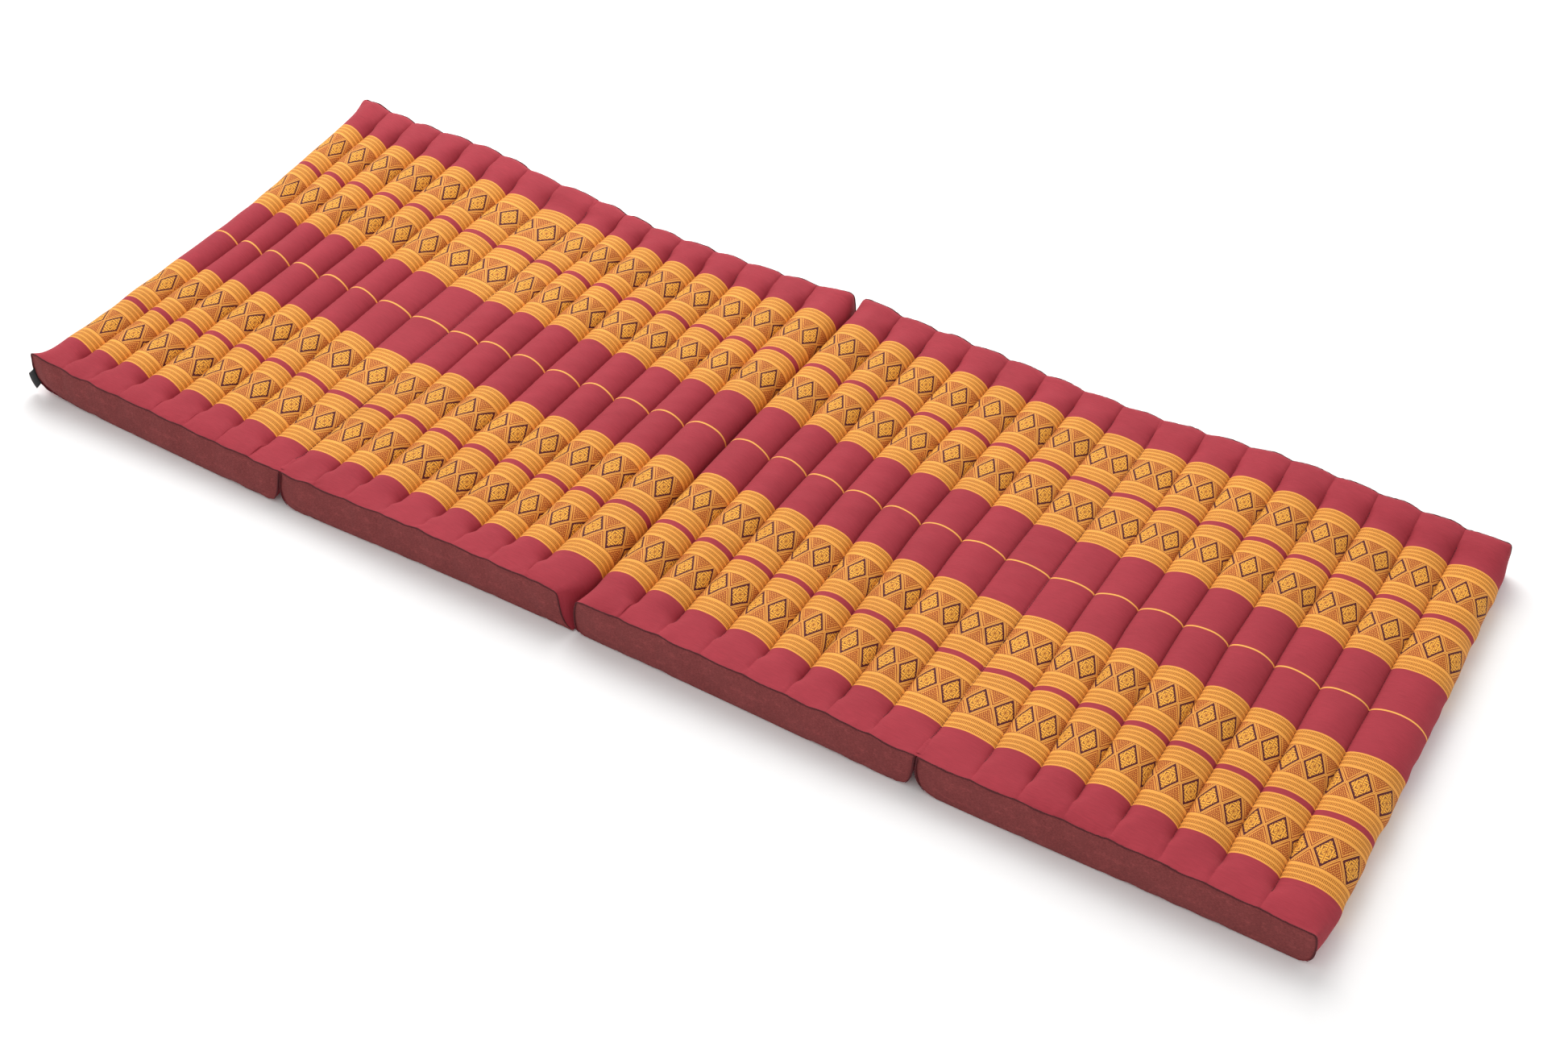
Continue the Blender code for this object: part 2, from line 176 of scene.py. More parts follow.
def along(knots, x):
    """A smooth value at x through (x, value) knots."""
    xs, zs = np.array(knots).T
    x = np.clip(np.asarray(x, float), xs[0], xs[-1])
    n = np.clip(np.searchsorted(xs, x, side="right") - 1, 0, len(xs) - 2)
    slope = np.gradient(zs, xs)
    step = xs[n + 1] - xs[n]
    t = (x - xs[n]) / step
    return ((1 + 2 * t) * (1 - t) ** 2 * zs[n] + t * (1 - t) ** 2 * step * slope[n]
            + t * t * (3 - 2 * t) * zs[n + 1] + t * t * (t - 1) * step * slope[n + 1])


def arc(t):
    """Rise of a stuffed roll at t from 0 to 1 across it."""
    sine = (2 * t - 1) * math.sin(ROLL_ANGLE)
    return (np.sqrt(1 - sine ** 2) - math.cos(ROLL_ANGLE)) / (1 - math.cos(ROLL_ANGLE))


def lumps(x, y, seed, size):
    """Slow unevenness, about -1 to 1, with features of about some size."""
    random = np.random.default_rng(seed)
    total = 0.0
    for _ in range(7):
        kx, ky = random.normal(0.0, 2 * math.pi / size, 2)
        total = total + np.sin(kx * x + ky * y + random.uniform(0, 2 * math.pi))
    return total / 3.0


def curl(x, y):
    """How far the floor side is lifted at x, y."""
    rise = 0.0
    for cx, side, height, reach in CURLS:
        rise = rise + height * np.exp(-((x - cx) ** 2 + (y - side * HALF) ** 2) / reach ** 2)
    hem = HEM * np.clip(lumps(x, np.sign(y) * 3.0, 3, 0.13), 0, 1)
    return rise + hem * np.exp(-(HALF - np.abs(y)) / 0.016)


def foot(x, y, z):
    """How far out the near side's cloth leans at x, y and height z."""
    out = along(FOOT, x) * np.clip(-y / HALF, 0, 1) ** 10
    return -out * (1 - smooth(z / 0.052)) * (y < 0)


def spline(points, count):
    """count points along a smooth curve through the given ones, evenly by length."""
    p = np.array(points, float)
    p = np.vstack([2 * p[0] - p[1], p, 2 * p[-1] - p[-2]])
    t = np.linspace(0, 1, 24, endpoint=False)[:, None]
    out = []
    for a, b, c, d in zip(p, p[1:], p[2:], p[3:]):
        out.append(0.5 * (2 * b + (c - a) * t + (2 * a - 5 * b + 4 * c - d) * t ** 2
                          + (3 * b - a - 3 * c + d) * t ** 3))
    return resample(np.vstack(out + [p[-2:-1]]), count)


def knee(points, crisp, before, after):
    """A curve in two runs of even points that meet at the CORNER point, crisply or smoothly."""
    if crisp:
        runs = [spline(points[:CORNER + 1], 200), spline(points[CORNER:], 200)]
    else:
        whole = spline(points, 700)
        at = np.argmin(np.linalg.norm(whole - np.array(points[CORNER]), axis=1))
        runs = [whole[:at + 1], whole[at:]]
    return np.concatenate([resample(runs[0], before), resample(runs[1], after)[1:]])


def resample(p, count):
    """count points evenly by length along a polyline."""
    s = np.concatenate([[0], np.cumsum(np.linalg.norm(np.diff(p, axis=0), axis=1))])
    at = np.linspace(0, s[-1], count)
    return np.stack([np.interp(at, s, p[:, n]) for n in range(p.shape[1])], axis=1)


class Panel:
    """One quilted panel: where its channel lines run, and its cloth surface."""

    def __init__(self, number):
        self.n = number
        self.start, self.end = ENDS[number - 1], ENDS[number]
        self.kinds = PANEL_ENDS[number]
        self.lines = [self.start]
        for k in range(1, ROLLS):
            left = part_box(f"panel_{number}_kapok_roll_{k}")[1][0]
            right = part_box(f"panel_{number}_kapok_roll_{k + 1}")[0][0]
            self.lines.append((left + right) / 2)
        self.lines = np.array(self.lines + [self.end])
        random = np.random.default_rng(100 + number)
        self.stitch_end = random.uniform(*STITCH_END, (2, ROLLS + 1))
        self.plump = random.uniform(-0.0008, 0.0008, ROLLS)
        self.rounded = [kind != TOP_FOLD for kind in self.kinds]

    def top(self, k, t, y):
        """Points of the top cloth at t across roll k, at y across the mattress."""
        k, t, y = np.broadcast_arrays(k, np.asarray(t, float), np.asarray(y, float))
        inset, side = HALF - np.abs(y), (y > 0).astype(int)
        a, b = self.lines[k], self.lines[k + 1]
        wander = 0.0009 * lumps(a, y, 7, 0.25) * (1 - t) + 0.0009 * lumps(b, y, 7, 0.25) * t
        wander = wander * ((t < 1) | (k < ROLLS - 1)) * ((t > 0) | (k > 0))
        x = a + (b - a) * t + wander * smooth(inset / 0.05)
        stop = self.stitch_end[side, k] * (1 - t) + self.stitch_end[side, k + 1] * t
        near = np.minimum(t, 1 - t) * (b - a)
        if self.rounded[0]:
            near = np.where((k == 0), (1 - t) * (b - a), near)
        if self.rounded[1]:
            near = np.where((k == ROLLS - 1), t * (b - a), near)
        rise = arc(t)
        middle = (a + b) / 2
        relief = np.minimum(along(RELIEF, middle) + self.plump[k],
                            CREST_LIMIT - along(CREST, x) + along(RELIEF, x))
        valley = along(CREST, x) - along(RELIEF, x)
        inner = valley + relief * rise + 0.0007 * lumps(x, y, 11 + self.n, 0.10) * rise
        seam = np.where(side == 1, along(SEAM[1], x), along(SEAM[-1], x))
        wide = np.where(side == 1, SHOULDER[1][0], SHOULDER[-1][0])
        power = np.where(side == 1, SHOULDER[1][1], SHOULDER[-1][1])
        full = np.where(side == 1, seam + FAR_DROP, np.maximum(seam, valley + relief - 0.0022))
        deep = relief / 0.0165
        at_seam, inward = np.where(side == 1, 0.0034, 0.0008), np.where(side == 1, 0.0034, 0.0020)
        ripple = deep * (at_seam + inward * smooth(inset / 0.03)) * (1 - np.sin(math.pi * t) ** 0.7)
        margin = seam + (full - seam) * (1 - (1 - np.clip(inset / wide, 0, 1)) ** power) - ripple
        fade = smooth((inset - 0.48 * stop) / (0.80 * stop))
        z = margin + (inner - margin) * fade
        held = smooth((inset - 0.004) / 0.02) * (1 - fade)
        z = z - 0.0011 * np.exp(-(near / 0.0030) ** 2) * held
        z = z - 0.0013 * np.exp(-(near / 0.0017) ** 2) * fade
        creases = np.sin(2 * math.pi * x / 0.013 + 3.0 * lumps(x, y, 61 + self.n, 0.06))
        z = z + 0.00035 * creases * np.exp(-((inset - 0.008) / 0.009) ** 2)
        z = z - 0.0030 * deep * np.exp(-(near / 0.008) ** 2 - ((inset - 0.92 * stop) / 0.010) ** 2)
        line = a * (t < 0.5) + b * (t >= 0.5)
        gather = np.sin(2 * math.pi * y / 0.0165 + 2.2 * lumps(line, y, 5, 0.05))
        z = z + 0.00050 * gather * np.exp(-near / 0.008) * fade * (near > 0)
        z = np.minimum(z, CREST_LIMIT)
        z = z + FAR_RAISE * smooth((H1 - 0.06 - x) / 0.20) * smooth(y / HALF)
        notch = 0.0030 * (1 - np.sin(math.pi * t) ** 0.8) * np.exp(-inset / 0.018)
        y = np.sign(y) * (np.abs(y) - notch)
        return np.stack([x, y, z + curl(x, y)], axis=-1)

    def fall(self, side, y, before=8, after=14):
        """Points of the cloth down a rounded end, from its roll's crest to the base."""
        mid, edge = (knee(p, n, before, after) for n, p in enumerate(FALLS[self.n, side]))
        inset = HALF - np.abs(y)[:, None]
        share = (1 - np.clip(inset / CORNER_REACH, 0, 1)) ** 2
        square = share * (1 - FAR_CORNER * (y[:, None] > 0) * (self.n == 2))
        roll = 0 if side == 0 else ROLLS - 1
        crest = self.top(roll, 0.5, y)
        tall = crest[:, 2] - curl(crest[:, 0], crest[:, 1])
        lift = tall[:, None] - (0.068 + (0.061 - 0.068) * share)
        depth = mid[:, 0] + (edge[:, 0] - mid[:, 0]) * square
        z = mid[:, 1] + (edge[:, 1] - mid[:, 1]) * share
        z = z + lift * smooth(z / 0.062)
        half = 0.5 * (self.lines[roll + 1] - self.lines[roll])
        depth = depth * (1 + (half / 0.037 - 1) * np.linspace(1, 0, len(mid)))
        sign, origin = (1, self.start) if side == 0 else (-1, self.end)
        x = origin + sign * depth
        if self.kinds[side] == OPEN:
            uneven = 0.0010 * lumps(y[:, None], z, 31 + self.n, 0.09)
            x = x - sign * uneven * np.clip(1 - depth / 0.03, 0, 1)
        x[:, 0] = crest[:, 0]
        yy = np.repeat(y[:, None], len(mid), axis=1)
        z = z + curl(x, yy)
        z[:, 0] = crest[:, 2]
        return np.stack([x, yy, z], axis=-1)

    def columns(self, per_roll):
        """(roll, t) for each column over the rolls, denser next to the stitched lines."""
        out = []
        steps = (1 - np.cos(np.linspace(0, math.pi, per_roll + 1))) / 2
        for k in range(ROLLS):
            ts = steps
            if k == 0 and self.rounded[0]:
                ts = ts[ts >= 0.499]
            if k == ROLLS - 1 and self.rounded[1]:
                ts = ts[ts <= 0.501]
            out += [(k, t) for t in (ts if k == 0 else ts[1:])]
        return np.array([k for k, _ in out]), np.array([t for _, t in out])

    def cover(self, y, per_roll=18):
        """The whole top cloth as rows of points, with the roll that each column lies on."""
        k, t = self.columns(per_roll)
        points, roll = self.top(k[None, :], t[None, :], y[:, None]), k
        if self.rounded[0]:
            down = self.fall(0, y)[:, :0:-1]
            points = np.concatenate([down, points], axis=1)
            roll = np.concatenate([np.zeros(down.shape[1], int), roll])
        if self.rounded[1]:
            down = self.fall(1, y)[:, 1:]
            points = np.concatenate([points, down], axis=1)
            roll = np.concatenate([roll, np.full(down.shape[1], ROLLS - 1)])
        return points, roll

    def v_face(self, side, y, count):
        """The end cloth below a top fold: from under the top cloth, over its edge and down."""
        sign, origin = (1, self.start) if side == 0 else (-1, self.end)
        mid, edge = (spline(p, count) for p in V_FALL[side])
        inset = HALF - np.abs(y)[:, None]
        share = (1 - np.clip(inset / CORNER_REACH, 0, 1)) ** 2
        roll, t = (0, 0.0) if side == 0 else (ROLLS - 1, 1.0)
        edge_line = self.top(roll, t, y)
        lifted = curl(edge_line[:, 0], edge_line[:, 1])
        tall = (edge_line[:, 2] - lifted - 0.0012)[:, None]
        drop = mid[:, 1] + (edge[:, 1] - mid[:, 1]) * share
        x = origin + sign * (mid[:, 0] + (edge[:, 0] - mid[:, 0]) * share)
        z = tall + (V_END - tall) * drop
        yy = np.repeat(y[:, None], count, 1)
        down = np.stack([x, yy + foot(x, yy, z), z + lifted[:, None]], axis=-1)
        steps = np.linspace(0.16, 0.02, UNDERLAP)
        under = self.top(roll, steps if side == 0 else 1 - steps, y[:, None])
        under[..., 2] -= 0.0016
        face = np.concatenate([under, down], axis=1)
        face[..., 1] -= np.sign(face[..., 1]) * 0.0004
        return face


def rows_across(step=0.0052):
    """Y of the rows, closer together by the long edges."""
    insets = [0, 0.0012, 0.003, 0.0055, 0.0085, 0.012, 0.016, 0.0202]
    inner = np.linspace(0.0246, HALF, int((HALF - 0.0246) / step) + 1)
    half = np.concatenate([insets, inner])
    return np.concatenate([-(HALF - half), (HALF - half)[::-1][1:]])


def settle(points):
    """The points, moved out of true as the laid-out mattress is."""
    p = np.array(points, float).reshape(-1, 3)
    x, y = p[:, 0].copy(), p[:, 1].copy()
    far, near = smooth(y / HALF), smooth(-y / HALF)
    p[:, 0] += (along(SHIFT[1], x) * far + along(SHIFT[0], x) * (1 - far - near)
                + along(SHIFT[-1], x) * near)
    p[:, 1] += (along(SPREAD[1], x) * smooth((y - 0.02) / 0.30)
                + along(FLARE, x) * smooth((y - 0.33) / 0.07))
    p[:, 1] -= along(SPREAD[-1], x) * smooth((0.06 - y) / 0.16) * smooth((y + HALF) / 0.07)
    return p


# --- meshes ------------------------------------------------------------------------------------

def new_object(name, points, faces, material, uv=None, sharp=None):
    """An object with the given faces, settled, smooth and of one material."""
    mesh = bpy.data.meshes.new(name)
    mesh.from_pydata(settle(points).tolist(), [], faces)
    if uv is not None:
        layer = mesh.uv_layers.new(name="cloth")
        layer.data.foreach_set("uv", np.asarray(uv, np.float32).ravel())
    mesh.shade_smooth()
    if sharp:
        mesh.set_sharp_from_angle(angle=math.radians(sharp))
    mesh.materials.append(material)
    obj = bpy.data.objects.new(name, mesh)
    bpy.context.scene.collection.objects.link(obj)
    return obj


def grid(name, points, material, u, v, jumps=None, flip=False, sharp=None, ring=False):
    """A sheet through rows of points. u and v are its flat cloth coordinates, in metres, and
    jumps is what each column of faces adds to u where cloth is tucked into a seam."""
    rows, cols = points.shape[:2]
    index = np.arange(rows * cols).reshape(rows, cols)
    if ring:
        index = np.concatenate([index, index[:1]], axis=0)
        u, v = np.concatenate([u, u[:1]]), np.concatenate([v, v[-1:] + (v[-1:] - v[-2:-1])])
    quads = np.stack([index[:-1, :-1], index[:-1, 1:], index[1:, 1:], index[1:, :-1]], -1)
    at = np.stack([u, v], axis=-1)
    uv = np.stack([at[:-1, :-1], at[:-1, 1:], at[1:, 1:], at[1:, :-1]], axis=2)
    if jumps is not None:
        uv[..., 0] += jumps[None, :, None]
    quads, uv = quads.reshape(-1, 4), uv.reshape(-1, 4, 2)
    if flip:
        quads, uv = quads[:, ::-1], uv[:, ::-1]
    return new_object(name, points, quads.tolist(), material, uv, sharp)


def lengths(line):
    """Distance along a polyline to each of its points."""
    return np.concatenate([[0], np.cumsum(np.linalg.norm(np.diff(line, axis=0), axis=1))])


def tube(name, path, across, radii, material, sides=8, uneven=0.0, seed=1):
    """A closed strand along a path, thinning at its ends; radii are its half-widths along
    `across` and square to it."""
    path = np.asarray(path, float)
    tangent = np.gradient(path, axis=0)
    tangent /= np.linalg.norm(tangent, axis=1)[:, None]
    first = np.asarray(across, float) - tangent * (tangent @ np.asarray(across, float))[:, None]
    first /= np.linalg.norm(first, axis=1)[:, None]
    second = np.cross(tangent, first)
    s = lengths(path)
    size = 1 + uneven * lumps(s, s * 0, seed, 0.02)
    size = size * (0.35 + 0.65 * smooth(np.minimum(s, s[-1] - s) / 0.016))
    angle = np.linspace(0, 2 * math.pi, sides, endpoint=False)[:, None, None]
    ring = np.cos(angle) * first * radii[0] + np.sin(angle) * second * radii[1]
    v = np.linspace(0, 2 * math.pi * radii[1], sides, endpoint=False)[:, None]
    obj = grid(name, path + size[:, None] * ring, material, np.repeat(s[None], sides, 0),
               np.repeat(v, len(path), 1), flip=True, ring=True)
    mesh, count = obj.data, len(path)
    caps = [[n * count for n in range(sides)][::-1], [n * count + count - 1 for n in range(sides)]]
    bm = bmesh.new()
    bm.from_mesh(mesh)
    bm.verts.ensure_lookup_table()
    for cap in caps:
        bm.faces.new([bm.verts[n] for n in cap])
    bmesh.ops.recalc_face_normals(bm, faces=bm.faces)
    bm.to_mesh(mesh)
    bm.free()
    mesh.set_sharp_from_angle(angle=math.radians(60))
    return obj


def stitches(name, lines, size):
    """Short threads, end to end along lines of points, each pinched into the cloth at its ends."""
    pitch, length, radius = size
    points, faces = [], []
    for line in lines:
        count = int(lengths(line)[-1] / pitch)
        at = resample(line, 2 * count + 1)[1::2]
        tangent = np.gradient(at, axis=0)
        tangent /= np.linalg.norm(tangent, axis=1)[:, None]
        side = np.cross(tangent, (0, 0, 1.0))
        side /= np.linalg.norm(side, axis=1)[:, None]
        up = np.cross(side, tangent)
        for c, d, a, b in zip(at, tangent, side, up):
            base = len(points)
            points.append(c - d * length / 2 - b * radius)
            for step in (-0.28, 0.28):
                for ca, cb in ((1, 0), (0, 1), (-1, 0), (0, -1)):
                    points.append(c + d * length * step + (a * ca + b * cb) * radius)
            points.append(c + d * length / 2 - b * radius)
            for n in range(4):
                m = (n + 1) % 4
                faces.append((base, base + 1 + m, base + 1 + n))
                faces.append((base + 1 + n, base + 1 + m, base + 5 + m, base + 5 + n))
                faces.append((base + 5 + n, base + 5 + m, base + 9))
    # The threads take the dark thread colour, which is partly painted shade of the stitched valleys.
    return new_object(name, points, faces, THREAD_WITH_SHADE)


# --- materials ---------------------------------------------------------------------------------

class Value:
    """A number in a shader graph. Arithmetic on it adds Math nodes."""

    def __init__(self, graph, socket):
        self.graph, self.socket = graph, socket

    def __add__(self, other):
        return self.graph.math("ADD", self, other)

    def __radd__(self, other):
        return self.graph.math("ADD", other, self)

    def __sub__(self, other):
        return self.graph.math("SUBTRACT", self, other)

    def __rsub__(self, other):
        return self.graph.math("SUBTRACT", other, self)

    def __mul__(self, other):
        return self.graph.math("MULTIPLY", self, other)

    __rmul__ = __mul__

    def __truediv__(self, other):
        return self.graph.math("DIVIDE", self, other)

    def __abs__(self):
        return self.graph.math("ABSOLUTE", self)

    def __mod__(self, other):
        return self.graph.math("FLOORED_MODULO", self, other)

    def sin(self):
        return self.graph.math("SINE", self)

    def squared(self):
        return self.graph.math("MULTIPLY", self, self)

    def under(self, edge, soft=0.12):
        """1 below an edge, 0 above it, with a soft step between."""
        return self.graph.step(self, edge + soft, edge - soft)

    def over(self, edge, soft=0.12):
        """0 below an edge, 1 above it."""
        return self.graph.step(self, edge - soft, edge + soft)

    def between(self, low, high, soft=0.12):
        """1 from low to high, 0 outside."""
        return self.over(low, soft) * self.under(high, soft)


class Graph:
    """A material and the few kinds of node that the cloths need."""

    def __init__(self, name):
        self.material = bpy.data.materials.new(name)
        self.material.use_nodes = True
        self.tree = self.material.node_tree
        self.tree.nodes.clear()

    def node(self, kind, **settings):
        node = self.tree.nodes.new(kind)
        for key, value in settings.items():
            setattr(node, key, value)
        return node

    def put(self, value, socket):
        """Links or sets a socket to a value, a number or a colour."""
        if isinstance(value, Value):
            self.tree.links.new(value.socket, socket)
        elif isinstance(value, tuple) and len(value) == 3 and socket.type == "RGBA":
            socket.default_value = (*value, 1.0)
        else:
            socket.default_value = value

    def math(self, operation, *values):
        node = self.node("ShaderNodeMath", operation=operation)
        for value, socket in zip(values, node.inputs):
            self.put(value, socket)
        return Value(self, node.outputs[0])

    def step(self, value, low, high):
        """A smooth rise from 0 at low to 1 at high, or a fall where low is the larger."""
        node = self.node("ShaderNodeMapRange", interpolation_type="SMOOTHSTEP")
        self.put(value, node.inputs["Value"])
        flip = low > high
        node.inputs["From Min"].default_value = min(low, high)
        node.inputs["From Max"].default_value = max(low, high)
        node.inputs["To Min"].default_value = 1.0 if flip else 0.0
        node.inputs["To Max"].default_value = 0.0 if flip else 1.0
        return Value(self, node.outputs["Result"])

    def mix(self, share, a, b):
        """Colour a where share is 0, b where it is 1."""
        node = self.node("ShaderNodeMix", data_type="RGBA")
        self.put(share, node.inputs["Factor"])
        self.put(a, node.inputs[6])
        self.put(b, node.inputs[7])
        return Value(self, node.outputs[2])

    def scaled(self, colour, share):
        """A colour made lighter or darker by a number."""
        node = self.node("ShaderNodeVectorMath", operation="SCALE")
        self.put(colour, node.inputs[0])
        self.put(share, node.inputs["Scale"])
        return Value(self, node.outputs[0])

    def noise(self, u, v, detail=3.0, rough=0.55):
        """Flat noise, 0 to 1, with features about one unit of u and v across."""
        at = self.node("ShaderNodeCombineXYZ")
        self.put(u, at.inputs[0])
        self.put(v, at.inputs[1])
        node = self.node("ShaderNodeTexNoise", noise_dimensions="2D")
        node.inputs["Scale"].default_value = 1.0
        node.inputs["Detail"].default_value = detail
        node.inputs["Roughness"].default_value = rough
        self.tree.links.new(at.outputs[0], node.inputs["Vector"])
        return Value(self, node.outputs[0])

    def cloth(self):
        """The flat cloth's two coordinates, in millimetres."""
        uv = self.node("ShaderNodeUVMap", uv_map="cloth")
        split = self.node("ShaderNodeSeparateXYZ")
        self.tree.links.new(uv.outputs[0], split.inputs[0])
        u, v = Value(self, split.outputs[0]), Value(self, split.outputs[1])
        return u * 1000.0, v * 1000.0

    def finish(self, colour, roughness, height, bump=0.4, depth=0.0003, sheen=0.2, tint=(1, 1, 1),
               specular=0.3):
        """The material, with its shader, fine bump and output in place."""
        shader = self.node("ShaderNodeBsdfPrincipled")
        self.put(colour, shader.inputs["Base Color"])
        self.put(roughness, shader.inputs["Roughness"])
        shader.inputs["Specular IOR Level"].default_value = specular
        shader.inputs["Sheen Weight"].default_value = sheen
        shader.inputs["Sheen Roughness"].default_value = 0.45
        shader.inputs["Sheen Tint"].default_value = (*tint, 1.0)
        bumps = self.node("ShaderNodeBump")
        bumps.inputs["Strength"].default_value = bump
        bumps.inputs["Distance"].default_value = depth
        self.put(height, bumps.inputs["Height"])
        self.tree.links.new(bumps.outputs[0], shader.inputs["Normal"])
        out = self.node("ShaderNodeOutputMaterial")
        self.tree.links.new(shader.outputs[0], out.inputs[0])
        return self.material


RED, RED_DARK = (0.418, 0.042, 0.061), (0.288, 0.029, 0.042)
GOLD, GOLD_LIGHT = (0.700, 0.236, 0.026), (0.850, 0.370, 0.066)
OLIVE, MAROON, BROWN = (0.150, 0.052, 0.009), (0.080, 0.009, 0.014), (0.210, 0.032, 0.010)
ORANGE, CREAM, PETAL = (0.350, 0.072, 0.012), (0.900, 0.420, 0.095), (0.880, 0.400, 0.050)


def weave(g, u, v, pitch=0.62):
    """Height of a plain weave with slubs, 0 to 1, and the slubs alone."""
    waver = g.noise(u * 0.05, v * 0.9) * 1.6
    warp = (u * (2 * math.pi / pitch) + waver).sin()
    weft = (v * (2 * math.pi / pitch) + waver).sin()
    slub = g.noise(u * 0.045, v * 2.4, detail=4.0, rough=0.65)
    return (warp * weft) * 0.25 + slub * 0.5 + 0.25, slub


# The brocade, in millimetres of flat cloth.
BAND_AT, BAND_STEP, BAND_HALF = 145.2, 125.0, 57.4      # two gold bands on each side of the middle
FIELD_HALF = 27.0                                       # the figured middle of a band
LOZENGE_PITCH, LOZENGE = 34.5, (14.9, 26.4)             # along the band; half length and half width
DOTS, ROSETTE_SHAPE = 2.7, 1.35                         # pitch of the field's dots; across to along


def patterned_cotton():
    """Red cotton with brocaded gold bands, mirrored about the middle of the cloth."""
    g = Graph("patterned_cotton")
    u, v = g.cloth()
    height, slub = weave(g, u, v)
    from_middle = abs(v)
    centre = BAND_AT + from_middle.over(BAND_AT + BAND_STEP / 2, 0.01) * BAND_STEP
    q = abs(from_middle - centre)               # distance from the middle of a brocaded band
    in_gold = q.under(BAND_HALF, 0.25)

    # The gold borders: three rows of ticks between plain lines.
    p = BAND_HALF - q
    ticks = ((u + g.noise(u * 0.4, v * 0.4) * 0.9) % 1.9).under(0.75, 0.25)
    rows = ((p - 2.4) % 8.25).under(5.8, 0.35) * p.between(2.4, 24.6, 0.3)
    gold = g.mix(rows * 0.55, GOLD_LIGHT, GOLD)
    gold = g.mix(rows * ticks * 0.80, gold, OLIVE)
    gold = g.mix(p.over(29.6, 0.3), gold, BROWN)

    # The lozenge band.
    a = abs((u / LOZENGE_PITCH) % 1.0 - 0.5) * LOZENGE_PITCH    # along, from a lozenge's middle
    d = a / LOZENGE[0] + q / LOZENGE[1]                         # 1 on a lozenge's edge
    teeth = g.math("PINGPONG", q, 1.7) * 0.055
    dots = (((a + q * 0.5) % DOTS - DOTS / 2).squared()
            + ((a - q * 0.5) % DOTS - DOTS / 2).squared())
    field = g.mix(dots.under(0.60, 0.25), ORANGE, GOLD_LIGHT)
    field = g.mix(d.between(1.34, 1.40, 0.01), field, GOLD_LIGHT)
    field = g.mix(d.between(1.22, 1.27, 0.01), field, BROWN)
    field = g.mix(d.under(1.22, 0.01), field, GOLD_LIGHT)
    field = g.mix(d.between(1.085, 1.125, 0.01), field, BROWN)
    lozenge = petals(g, a, q)
    lozenge = g.mix((d - teeth).over(0.74, 0.012), lozenge, MAROON)
    band = g.mix(d.over(1.0, 0.012), lozenge, field)
    gold = g.mix(q.under(FIELD_HALF, 0.2), gold, band)

    line = from_middle.under(1.35, 0.2)
    red = g.mix(slub, RED_DARK, RED)
    colour = g.mix(in_gold, red, gold)
    colour = g.mix(line, colour, CREAM)
    worn = g.noise(u * 0.012, v * 0.012, detail=2.0)
    streak = g.noise(u * 0.05, v * 0.55, detail=3.0, rough=0.7)
    colour = g.scaled(colour, 0.70 + worn * 0.18 + slub * 0.10 + streak * 0.30)
    height = height + in_gold * 0.5 + rows * ticks * -0.4
    height = height + d.between(0.83, 1.0, 0.02) * q.under(26.6) * -0.5
    return g.finish(colour, 0.72 + slub * 0.14 - in_gold * 0.14, height, bump=0.5, sheen=0.04,
                    tint=(1.0, 0.80, 0.72), specular=0.15)


def petals(g, a, q):
    """A plain eight-petalled rosette in woven steps, inside a lozenge."""
    cross = g.math("MINIMUM", a, q).under(0.42, 0.15)
    stretched = a * ROSETTE_SHAPE
    slope = abs(stretched - q).under(0.55, 0.2)
    rings = g.math("MAXIMUM", stretched, q)
    notch = (rings % 4.3).between(1.6, 2.9, 0.2) * g.math("MINIMUM", stretched, q).over(1.7, 0.3)
    rosette = g.mix(notch * 0.9, PETAL, MAROON)
    return g.mix(g.math("MAXIMUM", cross, slope) * 0.85, rosette, BROWN)


def plain_cotton(name, light, dark, pitch=0.8):
    """Plain woven cotton, a little mottled, worn and scuffed."""
    g = Graph(name)
    u, v = g.cloth()
    height, slub = weave(g, u, v, pitch)
    cross = g.noise(u * 2.2, v * 0.05, detail=4.0, rough=0.65)
    worn = g.noise(u * 0.02, v * 0.02, detail=3.0)
    mottle = g.noise(u * 0.30, v * 0.8, detail=4.0, rough=0.75).over(0.5, 0.12)
    colour = g.mix(slub * 0.35 + cross * 0.35 + mottle * 0.30, dark, light)
    scuffs = g.noise(u * 0.06, v * 0.11, detail=5.0, rough=0.7).over(0.60, 0.10)
    colour = g.scaled(colour, 0.80 + worn * 0.28 + scuffs * 0.22)
    return g.finish(colour, 0.80 + slub * 0.12, height + cross * 0.5, bump=0.45, sheen=0.06,
                    tint=(1.0, 0.82, 0.80), specular=0.15)


def welt_cotton():
    """Folded dark cotton with a line of machine stitches along it."""
    g = Graph("welt_cotton")
    u, v = g.cloth()
    height, slub = weave(g, u, v, 0.5)
    thread = (u % 2.6).under(1.9, 0.2)
    colour = g.mix(slub, (0.070, 0.012, 0.015), (0.135, 0.028, 0.032))
    colour = g.mix(thread * 0.5 + 0.5, (0.035, 0.006, 0.008), colour)
    return g.finish(colour, 0.82 + slub * 0.1, height + thread, bump=0.5, sheen=0.05, specular=0.15)


def thread(name, light, dark):
    """Twisted sewing thread."""
    g = Graph(name)
    at = g.node("ShaderNodeTexCoord")
    split = g.node("ShaderNodeSeparateXYZ")
    g.tree.links.new(at.outputs["Object"], split.inputs[0])
    x, y = Value(g, split.outputs[0]), Value(g, split.outputs[1])
    twist = (y * 9000.0 + x * 6000.0).sin() * 0.5 + 0.5
    colour = g.mix(twist, dark, light)
    return g.finish(colour, 0.6 + twist * 0.2, twist, bump=0.4, depth=0.0001, sheen=0.1)


